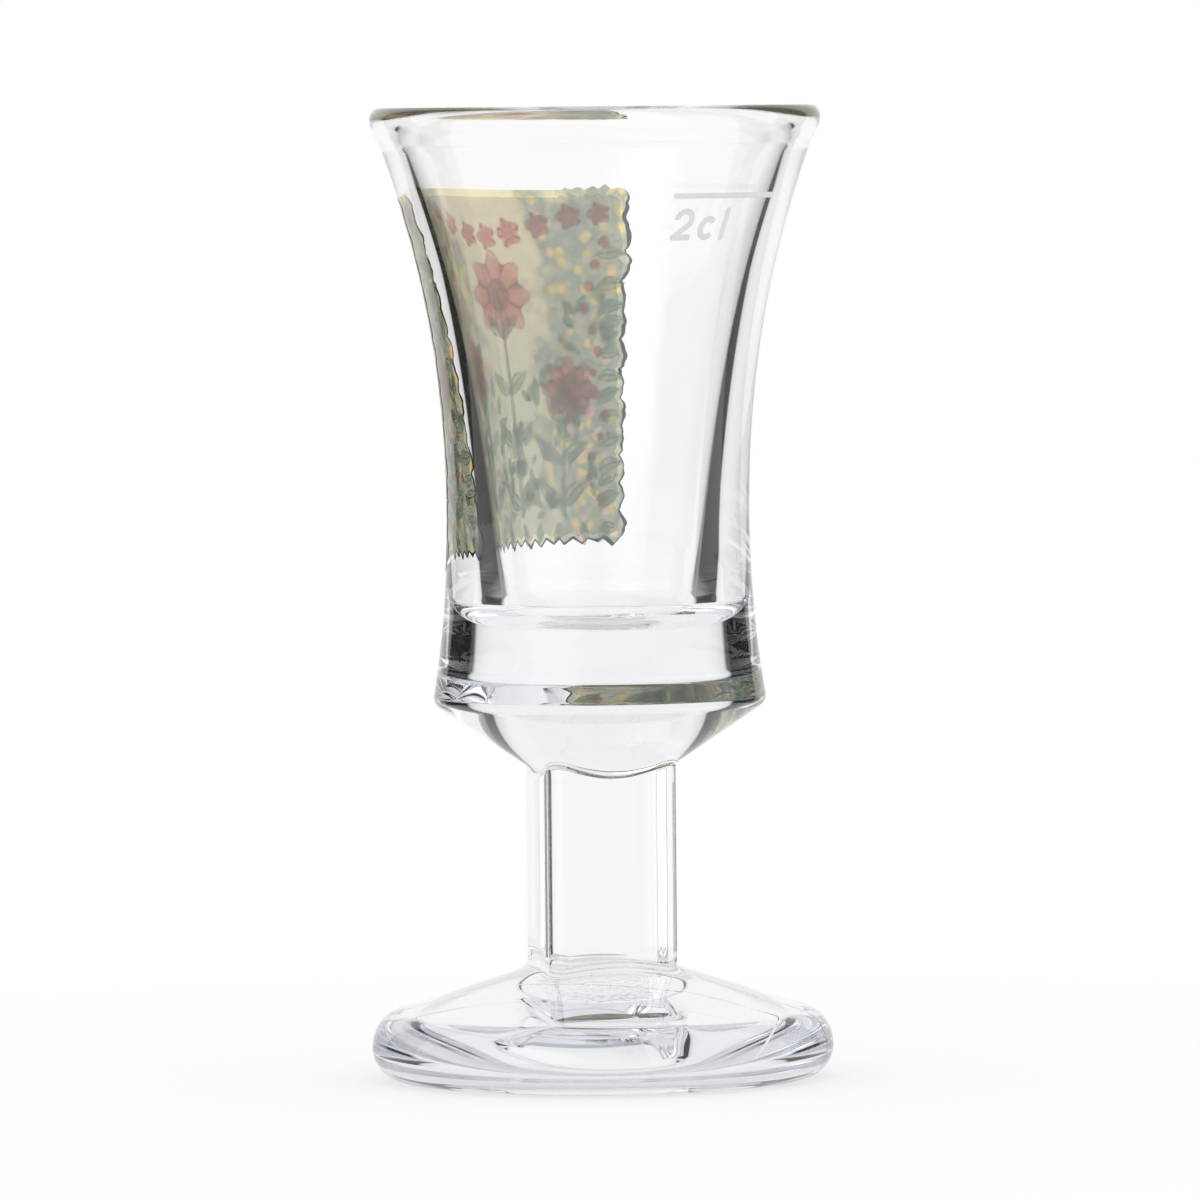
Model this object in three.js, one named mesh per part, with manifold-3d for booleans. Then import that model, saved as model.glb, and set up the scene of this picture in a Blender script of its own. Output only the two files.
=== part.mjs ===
// Schnapps glass: a heavy clear glass with a flared bowl, a square stem and a thick round foot,
// with a fill mark and a flower transfer fired on the outside of the bowl.
// Millimetres, +Z up. The origin is the middle of the ring that the foot stands on.
// Bearings round the glass are in degrees from its front (-Y), positive to the right (+X).

import * as THREE from 'three';
import { mergeVertices } from 'three/addons/utils/BufferGeometryUtils.js';
import Module from 'manifold-3d';

// Foot
const footRadius = 22.35;
const footEdgeHeight = 3.1; // height of the widest point
const footEdgeReach = 3.1; // how far the rounded edge reaches in from the widest point
const footShoulder = 3.7; // rise of the upper rounding above the widest point
const footSlope = 17.7; // fall of the sloping top, in degrees
const footNeck = 1.25; // square neck between the sloping top and the stem
const restRingWidth = 1.5;
const dishDepth = 3.5; // hollow inside the resting ring
const padRadius = 6.95; // round pad in the middle of the hollow, where the mould's valve pressed
const padHeight = 0.35; // how far the pad stands out of the hollow

// Stem
const stemSide = 12.65;
const stemRound = 1.7; // radius of the arrises
const stemTurn = 13; // bearing of the front face
const stemLength = 16.575;
const neckBite = 0.5; // how far the cone and the sloping top run on inside the square necks

// Bowl
const bowlNeck = 0.95; // square neck between the stem and the cone
const coneAngle = 34; // rise of the cone, in degrees
const heelRadius = 16.2;
const heelRound = 0.85;
const heelToWaist = 18.5;
const waistRadius = 14.65;
const waistToBead = 35.4;
const beadRadius = 20.8; // the wall's radius at the foot of the bead round the rim
const wallCurve = 2.1; // power by which the wall widens away from the waist
const beadHeight = 3.7;
const beadSwell = 10; // how far the bead turns out from the wall, in degrees
const lipRadius = 21.8;
const lipThickness = 2;
const lipRise = 1.1; // rise of the lip's rounding above its widest point
const lipInside = 0.9; // fall of the lip's rounding into the cavity
const solidBase = 6.95; // glass between the heel's corner and the floor of the cavity
const boreRadius = 9.6;
const boreDraft = 5.7; // taper of the cavity above its floor, in degrees
const boreCurve = 3; // power by which the cavity flares towards the lip
const floorRound = 2.9;

// Fill mark: a line at the nominal measure, with the measure under it
const fillVolume = 20000; // cubic millimetres, 2 cl
const markBearing = 23; // left end of the line
const lineLength = 13.15;
const lineThickness = 0.53;
const markGap = 0.92; // clear space between the line and the characters
const markHeight = 3.05;
const markLowerCase = 2.3;
const markWidth = 1.6; // width between the middles of a character's strokes
const markStroke = 0.58;
const markSpacing = 0.72; // clear space between neighbouring characters
const markSlant = 10; // lean of the characters, in degrees

// Flower transfer
const printBearing = 223; // middle of the transfer
const printWidth = 28.2; // measured round the wall at half height
const printHeight = 35;
const printBelowRim = 9;
const groundInset = 0.7; // the white ground stays this far inside the colour field
const fringeDepth = 1.05; // reach of the ragged edge's tips
const fringePitch = 3.5;
const bloomRadius = 4.45;
const sideBloomRadius = 3.5;
const bloomPetals = 8;
const petalDepth = 0.26; // depth of the notches between petals, as a share of the bloom's radius
const eyeRadius = 1.65;
const twigWidth = 0.85;
const twigSpacing = 6.9; // from the middle twig to those beside it
const leafShare = 0.45; // how far the leaves stand out, as a share of the clear space between twigs
const leafLean = 54; // lean of the leaves towards the twig's tip, in degrees
const leafTaper = 0.35; // how much smaller the top leaves are, as a share

// Ink films, drawn thicker than fired ink so that each stays a sound solid
const inkThickness = 0.08;
const inkGap = 0.08; // clear space under each film

// Fineness of the round surfaces
const roundSteps = 48;
const arcSteps = 5;
const wallSteps = 12;
const dishSteps = 6;
const eyeCells = 4;

const weldDistance = 1e-4;
const wasm = await Module();
wasm.setup();
const rad = THREE.MathUtils.degToRad;
const point = (x, y) => new THREE.Vector2(x, y);

// Heights in the foot's frame, from the surface it stands on
const stemHalf = stemSide / 2;
const stemCorner = Math.SQRT2 * (stemHalf - stemRound) + stemRound;
const restRadius = footRadius - footEdgeReach;
const dishRadius = restRadius - restRingWidth;
const slopeRise = Math.tan(rad(footSlope));
const shoulderTurn = Math.atan2(footShoulder, footEdgeReach * slopeRise);
const shoulderRadius = restRadius + footEdgeReach * Math.cos(shoulderTurn);
const shoulderHeight = footEdgeHeight + footShoulder * Math.sin(shoulderTurn);
const slopeHeight = (radius) => shoulderHeight + slopeRise * (shoulderRadius - radius);
const stemFootHeight = slopeHeight(stemHalf) + footNeck;
const buriedRadius = stemHalf - neckBite; // where the turned surfaces end, inside the square necks

// Heights in the bowl's frame, from the face where it joins the stem
const coneRise = Math.tan(rad(coneAngle));
const coneHeight = (radius) => bowlNeck + coneRise * (radius - stemHalf);
const heelHeight = coneHeight(heelRadius);
const waistHeight = heelHeight + heelToWaist;
const beadFoot = waistHeight + waistToBead;
const rimHeight = beadFoot + beadHeight;
const lipHeight = rimHeight - lipRise;
const lipMiddle = lipRadius - lipThickness / 2;
const floorHeight = heelHeight + solidBase;
const boreHeight = floorHeight + floorRound;

// The cavity ends under the lip, and its flare brings it there
const boreTopHeight = rimHeight - lipInside;
const boreTopRadius = lipRadius - lipThickness;
const boreLength = boreTopHeight - boreHeight;
const boreTaper = Math.tan(rad(boreDraft));
const boreFlare = boreTopRadius - boreRadius - boreTaper * boreLength;

// Outside radius of the bowl's wall: a curve that widens both ways from the waist
function wallRadius(height) {
  const above = height > waistHeight;
  const reach = above ? waistToBead : heelToWaist;
  const flare = above ? beadRadius - waistRadius : heelRadius - waistRadius;
  const share = Math.abs(height - waistHeight) / reach;
  return waistRadius + flare * share ** wallCurve;
}

// Radius of the cavity: a rounded floor, then a tapered wall that flares towards the lip
function cavityRadius(height) {
  const above = height - boreHeight;
  if (above < 0) return boreRadius - floorRound + Math.sqrt(floorRound * floorRound - above * above);
  return boreRadius + boreTaper * above + boreFlare * (above / boreLength) ** boreCurve;
}

// The height to which the nominal measure fills the cavity
function fillHeight() {
  const slices = 800;
  const slice = (boreTopHeight - floorHeight) / slices;
  let held = 0;
  let height = floorHeight;
  while (held < fillVolume && height < boreTopHeight - slice) {
    held += Math.PI * cavityRadius(height + slice / 2) ** 2 * slice;
    height += slice;
  }
  return height;
}

// A closed solid for joining and cutting, from a geometry
function toSolid(geometry) {
  const bare = new THREE.BufferGeometry();
  bare.setAttribute('position', geometry.getAttribute('position'));
  bare.setIndex(geometry.index);
  const welded = mergeVertices(bare, weldDistance);
  const corners = welded.index.array;
  const triangles = [];
  for (let i = 0; i < corners.length; i += 3) {
    const [a, b, c] = corners.slice(i, i + 3);
    if (a !== b && b !== c && c !== a) triangles.push(a, b, c);
  }
  return new wasm.Manifold(new wasm.Mesh({
    numProp: 3,
    vertProperties: new Float32Array(welded.getAttribute('position').array),
    triVerts: new Uint32Array(triangles),
  }));
}

function toGeometry(solid) {
  const mesh = solid.getMesh();
  const geometry = new THREE.BufferGeometry();
  geometry.setAttribute('position', new THREE.Float32BufferAttribute(mesh.vertProperties, 3));
  geometry.setIndex(Array.from(mesh.triVerts));
  return geometry;
}

function joined(geometries) {
  return toGeometry(geometries.map(toSolid).reduce((whole, next) => whole.add(next)));
}

// A solid of revolution about Z from a profile of radius and height
function turned(profile) {
  return new THREE.LatheGeometry(profile, roundSteps).rotateX(Math.PI / 2);
}

// The square section with rounded arrises, standing from one height to another
function squareBar(from, to) {
  const shape = new THREE.Shape();
  const inner = stemHalf - stemRound;
  for (let corner = 0; corner < 4; corner++) {
    const turn = corner * Math.PI / 2;
    const middle = point(inner, inner).rotateAround(point(0, 0), turn);
    shape.absarc(middle.x, middle.y, stemRound, turn, turn + Math.PI / 2);
  }
  const along = { depth: to - from, bevelEnabled: false, curveSegments: arcSteps };
  const bar = new THREE.ExtrudeGeometry(shape, along);
  return bar.translate(0, 0, from).rotateZ(rad(stemTurn));
}

// Foot: hollow underside with its pad, resting ring, rounded edge and sloping top, with its square neck
function footGeometry() {
  const dish = (radius) => dishDepth * (1 - (radius / dishRadius) ** 2);
  const padFace = dish(padRadius) - padHeight;
  const profile = [point(0, padFace), point(padRadius, padFace)];
  for (let i = 0; i <= dishSteps; i++) {
    const radius = padRadius + (dishRadius - padRadius) * i / dishSteps;
    profile.push(point(radius, dish(radius)));
  }
  const edge = (rise, from, to) =>
    new THREE.EllipseCurve(restRadius, footEdgeHeight, footEdgeReach, rise, from, to).getPoints(arcSteps);
  profile.push(...edge(footEdgeHeight, -Math.PI / 2, 0), ...edge(footShoulder, 0, shoulderTurn).slice(1));
  profile.push(point(buriedRadius, slopeHeight(buriedRadius)), point(0, slopeHeight(buriedRadius)));
  const neckFrom = slopeHeight(stemCorner) - footNeck;
  return joined([turned(profile), squareBar(neckFrom, stemFootHeight)]);
}

// The bead and the lip: out from the wall, over the rim and down into the cavity
function lipPoints() {
  const wallLean = Math.atan(wallCurve * (beadRadius - waistRadius) / waistToBead);
  const swell = (lipRadius - beadRadius) / Math.tan(wallLean + rad(beadSwell));
  const bead = new THREE.QuadraticBezierCurve(
    point(beadRadius, beadFoot),
    point(lipRadius, Math.min(beadFoot + swell, lipHeight)),
    point(lipRadius, lipHeight),
  );
  const over = new THREE.EllipseCurve(lipMiddle, lipHeight, lipRadius - lipMiddle, lipRise, 0, Math.PI / 2);
  const insideSlope = boreTaper + boreCurve * boreFlare / boreLength;
  const inside = new THREE.QuadraticBezierCurve(
    point(lipMiddle, rimHeight),
    point(Math.min(boreTopRadius + insideSlope * lipInside, lipMiddle), rimHeight),
    point(boreTopRadius, boreTopHeight),
  );
  return [bead, over, inside].flatMap((curve) => curve.getPoints(arcSteps).slice(1));
}

// Bowl: square neck, cone, heel, waisted wall, lip and flared cavity
function bowlGeometry() {
  const profile = [point(0, coneHeight(buriedRadius)), point(buriedRadius, coneHeight(buriedRadius))];
  const beforeHeel = heelRadius - heelRound * Math.cos(rad(coneAngle));
  const afterHeel = heelHeight + heelRound;
  const heel = new THREE.QuadraticBezierCurve(
    point(beforeHeel, coneHeight(beforeHeel)),
    point(heelRadius, heelHeight),
    point(wallRadius(afterHeel), afterHeel),
  );
  profile.push(...heel.getPoints(arcSteps));
  for (let i = 1; i <= wallSteps; i++) {
    const height = afterHeel + (beadFoot - afterHeel) * i / wallSteps;
    profile.push(point(wallRadius(height), height));
  }
  profile.push(...lipPoints());
  for (let i = 1; i <= wallSteps; i++) {
    const height = boreTopHeight - boreLength * i / wallSteps;
    profile.push(point(cavityRadius(height), height));
  }
  const corner = boreRadius - floorRound;
  const floor = new THREE.EllipseCurve(corner, boreHeight, floorRound, floorRound, 0, -Math.PI / 2, true);
  profile.push(...floor.getPoints(arcSteps).slice(1), point(0, floorHeight));
  const neckTo = coneHeight(stemCorner) + bowlNeck;
  return joined([turned(profile), squareBar(0, neckTo)]);
}

// A flat plate of ink on a grid of cells small enough to bend: spot(column, row) gives each grid point
function inkPlate(columns, rows, spot) {
  const at = (column, row) => row * (columns + 1) + column;
  const film = at(columns, rows) + 1;
  const places = [];
  for (const lift of [0, inkThickness]) {
    for (let row = 0; row <= rows; row++) {
      for (let column = 0; column <= columns; column++) {
        const { x, y } = spot(column, row);
        places.push(x, y, lift);
      }
    }
  }
  const faces = [];
  const quad = (a, b, c, d) => faces.push(a, b, c, a, c, d);
  for (let row = 0; row < rows; row++) {
    for (let column = 0; column < columns; column++) {
      const corners = [at(column, row), at(column + 1, row), at(column + 1, row + 1), at(column, row + 1)];
      quad(...corners.map((corner) => corner + film));
      quad(...corners.reverse());
    }
  }
  const edge = [];
  for (let column = 0; column < columns; column++) edge.push(at(column, 0));
  for (let row = 0; row < rows; row++) edge.push(at(columns, row));
  for (let column = columns; column > 0; column--) edge.push(at(column, rows));
  for (let row = rows; row > 0; row--) edge.push(at(0, row));
  edge.forEach((from, i) => {
    const to = edge[(i + 1) % edge.length];
    quad(from, to, to + film, from + film);
  });
  const plate = new THREE.BufferGeometry();
  plate.setAttribute('position', new THREE.Float32BufferAttribute(places, 3));
  plate.setIndex(faces);
  return plate;
}

// Lays a plate on the wall: its x runs round the glass, its y up the wall and its z out of it
function layOnWall(plate, bearing, wrapRadius, layer) {
  const places = plate.getAttribute('position');
  const lift = inkGap + layer * (inkThickness + inkGap);
  for (let i = 0; i < places.count; i++) {
    const turn = rad(bearing) + places.getX(i) / wrapRadius;
    const height = places.getY(i);
    const radius = wallRadius(height) + lift + places.getZ(i);
    places.setXYZ(i, radius * Math.sin(turn), -radius * Math.cos(turn), height);
  }
  return plate;
}

// A stroke along a curve; its ribs may lean forward from the curve, and halfWidth gives their reach
function stroke(curve, columns, rows, halfWidth, lean = 0) {
  return inkPlate(columns, rows, (column, row) => {
    const middle = curve.getPoint(row / rows);
    const ahead = curve.getTangent(row / rows);
    const out = (2 * column / columns - 1) * halfWidth(row / rows);
    const swept = Math.abs(out) * lean;
    return point(middle.x + ahead.y * out + ahead.x * swept, middle.y - ahead.x * out + ahead.y * swept);
  });
}

// The characters of the fill mark, upright, with the middle of their left stroke at x = 0
const strokeEdge = markStroke / 2;
const even = () => strokeEdge;
const bentSteps = 3 * arcSteps;
const straightSteps = 3;

function digitPlate() {
  const half = markWidth / 2;
  const rise = markHeight - half - strokeEdge;
  const path = new THREE.CurvePath();
  const arch = new THREE.EllipseCurve(half, rise, half, half, Math.PI, -Math.PI / 5, true);
  path.add(arch);
  path.add(new THREE.LineCurve(arch.getPoint(1), point(0, strokeEdge)));
  const base = new THREE.LineCurve(point(-strokeEdge, strokeEdge), point(markWidth + strokeEdge, strokeEdge));
  return joined([stroke(path, 1, bentSteps, even), stroke(base, 1, straightSteps, even)]);
}

function openRingPlate() {
  const half = markWidth / 2;
  const tall = (markLowerCase - markStroke) / 2;
  const opening = rad(40);
  const ring = new THREE.EllipseCurve(half, markLowerCase / 2, half, tall, opening, 2 * Math.PI - opening);
  return stroke(ring, 1, bentSteps, even);
}

function barPlate() {
  return stroke(new THREE.LineCurve(point(0, 0), point(0, markHeight)), 1, straightSteps, even);
}

// Leans a character, moves it to its place in the row of characters and lays it on the wall
function markCharacter(plate, offset) {
  const lean = new THREE.Matrix4().makeShear(0, 0, Math.tan(rad(markSlant)), 0, 0, 0);
  const foot = fillHeight() - lineThickness / 2 - markGap - markHeight;
  plate.applyMatrix4(lean).translate(offset, foot, 0);
  return layOnWall(plate, markBearing, wallRadius(fillHeight()), 0);
}

function fillLine() {
  const height = fillHeight();
  const line = new THREE.LineCurve(point(0, height), point(lineLength, height));
  const plate = stroke(line, 1, Math.ceil(lineLength), () => lineThickness / 2);
  return layOnWall(plate, markBearing, wallRadius(height), 0);
}

// The transfer, drawn flat with its origin at the middle of its lower edge
const printFoot = rimHeight - printBelowRim - printHeight;
const printWrap = wallRadius(printFoot + printHeight / 2);

function layPrint(plate, layer) {
  return layOnWall(plate.translate(0, printFoot, 0), printBearing, printWrap, layer);
}

// The transfer's panel, with a straight top and tips of uneven reach on its other edges
function panelPlate(inset) {
  const columns = 2 * Math.round(printWidth / fringePitch);
  const rows = 2 * Math.round(printHeight / fringePitch);
  const reach = (tip) => (tip % 2) * fringeDepth * (0.65 + 0.35 * Math.sin(2.4 * tip));
  return inkPlate(columns, rows, (column, row) => {
    const side = (column === columns) * reach(row + columns + 1) - (column === 0) * reach(row);
    const drop = (row === 0) * reach(column);
    const x = (column / columns - 0.5) * (printWidth - 2 * inset) + side;
    return point(x, inset + (printHeight - 2 * inset) * row / rows - drop);
  });
}

// Places in the flower design, as shares of the transfer's width and height
const place = (across, up) => point(across * printWidth, up * printHeight);
const blooms = [
  { name: 'middle', twig: 0, at: place(0, 0.71), radius: bloomRadius, pairs: 4 },
  { name: 'left', twig: -twigSpacing, at: place(-0.29, 0.44), radius: sideBloomRadius, pairs: 3 },
  { name: 'right', twig: twigSpacing, at: place(0.29, 0.5), radius: sideBloomRadius, pairs: 3 },
];

// A twig that rises to its bloom, swelling into pairs of leaves that point forward
function frondPlate({ twig, at, pairs }) {
  const foot = point(twig, printHeight * 0.07);
  const curve = new THREE.QuadraticBezierCurve(foot, point(twig, at.y * 0.6), at);
  const leaves = (share) => Math.sin(Math.PI * pairs * share) ** 4 * (1 - leafTaper * share);
  const reach = (share) => twigWidth / 2 + leafShare * (twigSpacing - twigWidth) * leaves(share);
  return stroke(curve, 4, pairs * (arcSteps + 1), reach, Math.tan(rad(leafLean)));
}

// A disc on a square grid, with a wavy edge where it has petals
function discPlate(middle, radius, cells, petals) {
  return inkPlate(cells, cells, (column, row) => {
    const x = 2 * column / cells - 1;
    const y = 2 * row / cells - 1;
    const spot = point(x * Math.sqrt(1 - y * y / 2), y * Math.sqrt(1 - x * x / 2));
    const wave = petals ? 1 - petalDepth * (1 - Math.cos(petals * spot.angle())) / 2 : 1;
    return spot.multiplyScalar(radius * wave).add(middle);
  });
}

// A named piece with a material of its own
function piece(parent, name, geometry, look) {
  const mesh = new THREE.Mesh(geometry, new THREE.MeshStandardMaterial({ metalness: 0, ...look }));
  mesh.name = name;
  parent.add(mesh);
  return mesh;
}

const clearGlass = { color: 0xe9efee, roughness: 0.04, transparent: true, opacity: 0.4 };
const frostWhite = { color: 0xe1e4e2, roughness: 0.75 };
const groundWhite = { color: 0xeceae2, roughness: 0.5 };
const fieldOlive = { color: 0xb7b183, roughness: 0.45 };
const leafGreen = { color: 0x3f6f58, roughness: 0.4 };
const petalRed = { color: 0xb8433d, roughness: 0.4 };
const eyeYellow = { color: 0xe8c766, roughness: 0.4 };

const glass = new THREE.Group();
piece(glass, 'foot', footGeometry(), clearGlass);
piece(glass, 'stem', squareBar(0, stemLength), clearGlass).position.z = stemFootHeight;

const bowl = new THREE.Group();
bowl.position.z = stemFootHeight + stemLength;
glass.add(bowl);
piece(bowl, 'bowl', bowlGeometry(), clearGlass);

const characterPitch = markWidth + markStroke + markSpacing;
piece(bowl, 'fill_line', fillLine(), frostWhite);
piece(bowl, 'mark_digit', markCharacter(digitPlate(), strokeEdge), frostWhite);
piece(bowl, 'mark_unit_c', markCharacter(openRingPlate(), strokeEdge + characterPitch), frostWhite);
piece(bowl, 'mark_unit_l', markCharacter(barPlate(), strokeEdge + 2 * characterPitch), frostWhite);

piece(bowl, 'print_ground', layPrint(panelPlate(groundInset), 0), groundWhite);
piece(bowl, 'print_field', layPrint(panelPlate(0), 1), fieldOlive);
for (const bloom of blooms) {
  const head = discPlate(bloom.at, bloom.radius, bloomPetals, bloomPetals);
  const eye = discPlate(bloom.at, eyeRadius, eyeCells, 0);
  piece(bowl, `print_frond_${bloom.name}`, layPrint(frondPlate(bloom), 2), leafGreen);
  piece(bowl, `print_bloom_${bloom.name}`, layPrint(head, 3), petalRed);
  piece(bowl, `print_eye_${bloom.name}`, layPrint(eye, 4), eyeYellow);
}

export default glass;
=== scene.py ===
"""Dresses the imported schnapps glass: clear glass, a fired fill mark and a flower transfer on the bowl."""

import math
import random

import bpy
from bpy.props import FloatProperty, FloatVectorProperty, PointerProperty
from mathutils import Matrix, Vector


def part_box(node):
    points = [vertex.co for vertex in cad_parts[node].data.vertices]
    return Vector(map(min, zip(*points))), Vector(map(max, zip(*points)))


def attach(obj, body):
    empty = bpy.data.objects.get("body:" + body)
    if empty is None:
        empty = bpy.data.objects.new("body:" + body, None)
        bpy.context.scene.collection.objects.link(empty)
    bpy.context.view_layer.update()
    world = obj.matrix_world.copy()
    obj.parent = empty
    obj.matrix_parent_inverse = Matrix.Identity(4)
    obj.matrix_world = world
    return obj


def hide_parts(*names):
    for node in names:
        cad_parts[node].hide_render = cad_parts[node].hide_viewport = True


bl_info = {
    "name": "Schnapps Glass",
    "version": (1, 0, 0),
    "blender": (4, 5, 0),
    "location": "View3D > Sidebar > Schnapps Glass",
    "description": "Builds the glass, its fill mark and its flower transfer round the CAD frame",
    "category": "Object",
}

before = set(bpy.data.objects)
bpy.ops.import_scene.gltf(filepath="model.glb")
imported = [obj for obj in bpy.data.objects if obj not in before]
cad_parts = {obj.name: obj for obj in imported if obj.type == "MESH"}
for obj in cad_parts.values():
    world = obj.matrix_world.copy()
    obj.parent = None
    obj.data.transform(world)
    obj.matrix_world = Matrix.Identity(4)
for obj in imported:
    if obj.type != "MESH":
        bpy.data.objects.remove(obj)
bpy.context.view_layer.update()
MM = 0.001
FULL_TURN = 2 * math.pi
QUARTER_TURN = math.pi / 2

# Fineness of the meshes
ROUND_STEPS = 360
WALL_STEPS = 70
CAVITY_STEPS = 80
CONE_STEPS = 60
HOLLOW_STEPS = 40
TWIG_STEPS = 30
PANEL_CELLS = (112, 140)
SHARP_EDGE = math.radians(40)

GLASS_IOR = 1.52

# Inner and outer face of each film, in millimetres from the bowl's wall
MARK_FILM = (-0.012, 0.03)
GROUND_FILM = (-0.05, 0.02)
FIELD_FILM = (-0.02, 0.035)
TWIG_FILM = (-0.030, 0.047)
LEAF_FILM = (-0.028, 0.045)
PETAL_FILM = (-0.034, 0.055)
SMALL_FILM = (-0.036, 0.05)
EYE_FILM = (-0.040, 0.065)

# Softness of the surround's edges, and the soft window's height
CARD_SOFT = math.radians(2)
WINDOW_SOFT = math.radians(26)
WINDOW_LOW = math.radians(-12)
WINDOW_HIGH = math.radians(40)
WINDOW_EDGE = math.radians(8)

FLOOR_DROP = 0.05 * MM
FLOOR_STEPS = 128
CAMERA_PLACE = (0.00053, -1.025, 0.0942)
CAMERA_TURN = (math.radians(90 - 2.674), math.radians(0.52), 0)
CAMERA_LENS = 318
CAMERA_SENSOR = 36
CAMERA_END = 50
LIGHT_BOUNCES = 48
CLEAR_BOUNCES = 64


def srgb(red, green, blue):
    """A colour given as it shows on a screen, 0 to 255, as linear values."""
    shares = (red / 255, green / 255, blue / 255)
    return tuple(s / 12.92 if s <= 0.04045 else ((s + 0.055) / 1.055) ** 2.4 for s in shares)


def length(name, millimetres, description):
    return FloatProperty(name=name, description=description, default=millimetres * MM, min=0, unit="LENGTH")


def angle(name, degrees, description):
    return FloatProperty(name=name, description=description, default=math.radians(degrees), subtype="ANGLE")


def number(name, value, description):
    return FloatProperty(name=name, description=description, default=value, min=1)


def factor(name, value, description):
    return FloatProperty(name=name, description=description, default=value, min=0, max=1, subtype="FACTOR")


def colour(name, shown, description):
    return FloatVectorProperty(
        name=name, description=description, default=srgb(*shown), size=3, min=0, max=1, subtype="COLOR"
    )


class GlassSizes(bpy.types.PropertyGroup):
    """Sizes of the foot, the stem and the bowl."""

    foot_radius: length("Foot radius", 22.35, "Radius of the foot at its widest")
    edge_height: length("Edge height", 3.1, "Height of the foot's widest point")
    edge_reach: length("Edge reach", 3.1, "How far the foot's edge stands out from the resting ring")
    shoulder: length("Shoulder", 3.7, "Rise of the foot's edge above its widest point")
    slope: angle("Slope", 17.7, "Slope of the foot's top")
    foot_neck: length("Foot neck", 1.25, "Height of the square neck on the foot")
    ring_width: length("Resting ring", 1.5, "Width of the ring that the glass stands on")
    dish_depth: length("Hollow", 3.5, "Depth of the hollow under the foot")
    pad_radius: length("Pad radius", 6.95, "Radius of the stippled pad in the hollow")
    pad_height: length("Pad height", 0.35, "How far the pad stands out of the hollow")
    pad_round: length("Pad rounding", 1.3, "Width over which the pad's edge is rounded")
    foot_fillet: length("Foot fillet", 2.5, "Width over which the foot's top runs into the stem")
    stem_side: length("Stem side", 12.65, "Side of the square stem")
    stem_round: length("Stem rounding", 1.7, "Radius of the stem's arrises")
    stem_turn: angle("Stem turn", 13, "Turn of the square stem from the front")
    stem_length: length("Stem length", 16.575, "Length of the stem between its joints")
    bowl_neck: length("Bowl neck", 0.95, "Height of the square neck under the bowl")
    cone_angle: angle("Cone", 34, "Rise of the cone under the bowl")
    cone_fillet: length("Cone fillet", 1.15, "Width over which the stem runs into the cone")
    heel_radius: length("Heel radius", 16.2, "Radius of the bowl at its heel")
    heel_round: length("Heel rounding", 0.85, "Rounding of the heel")
    heel_to_waist: length("Heel to waist", 18.5, "Height of the waist above the heel")
    waist_radius: length("Waist radius", 14.65, "Radius of the bowl at its waist")
    waist_to_bead: length("Waist to bead", 35.4, "Height of the bead's foot above the waist")
    bead_radius: length("Bead radius", 20.8, "Radius of the wall at the bead's foot")
    bead_height: length("Bead height", 3.7, "Height of the bead round the rim")
    bead_swell: angle("Bead swell", 10, "How far the bead turns out from the wall")
    lip_radius: length("Lip radius", 21.8, "Radius of the lip at its widest")
    lip_thickness: length("Lip thickness", 2.0, "Thickness of the lip")
    lip_rise: length("Lip rise", 1.1, "Rise of the lip above its widest point")
    lip_inside: length("Lip inside", 0.9, "Fall of the lip's rounding into the cavity")
    solid_base: length("Solid base", 6.95, "Glass between the heel and the cavity's floor")
    bore_radius: length("Bore radius", 9.6, "Radius of the cavity above its rounded floor")
    bore_draft: angle("Bore draft", 5.7, "Taper of the cavity")
    floor_round: length("Floor rounding", 2.9, "Rounding of the cavity's floor")
    wall_curve: number("Wall curve", 2.1, "Power by which the wall widens")
    bore_curve: number("Bore curve", 3, "Power by which the cavity flares")


class GlassFinish(bpy.types.PropertyGroup):
    """Finish of the glass."""

    tint: colour("Tint", (244, 245, 247), "Colour of white light that has passed through the depth below")
    tint_depth: length("Tint depth", 30, "Thickness of glass that gives the tint")
    ripple: length("Ripple", 0.006, "Height of the slow ripple that pressing leaves")
    seam_bearing: angle("Stem seam", 58, "Where the mould's halves met on the stem")
    foot_seam_bearing: angle("Foot seam", 76, "Where the mould's halves met on the foot")
    seam_width: length("Seam width", 0.16, "Half width of the mould seam")
    seam_height: length("Seam height", 0.05, "Height of the mould seam")
    stipple: length("Stipple", 0.12, "Height of the stipple on the pad")
    stipple_pitch: length("Stipple pitch", 0.55, "Pitch of the stipple on the pad")


class FillMark(bpy.types.PropertyGroup):
    """The fired line and characters at the nominal measure."""

    bearing: angle("Bearing", 23, "Where the line starts, from the front")
    line_length: length("Line length", 13.15, "Length of the fill line")
    line_thickness: length("Line thickness", 0.53, "Thickness of the fill line")
    gap: length("Gap", 0.92, "Gap between the line and the characters")
    tall: length("Tall characters", 3.05, "Height of the digit and the tall letter")
    small: length("Small letter", 2.3, "Height of the small letter")
    wide: length("Character width", 1.6, "Width of a character between its strokes' middles")
    stroke: length("Stroke", 0.58, "Width of the strokes")
    spacing: length("Spacing", 0.72, "Space between characters")
    slant: angle("Slant", 10, "Slant of the characters")
    enamel: colour("Enamel", (226, 229, 228), "Colour of the fired mark")


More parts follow.
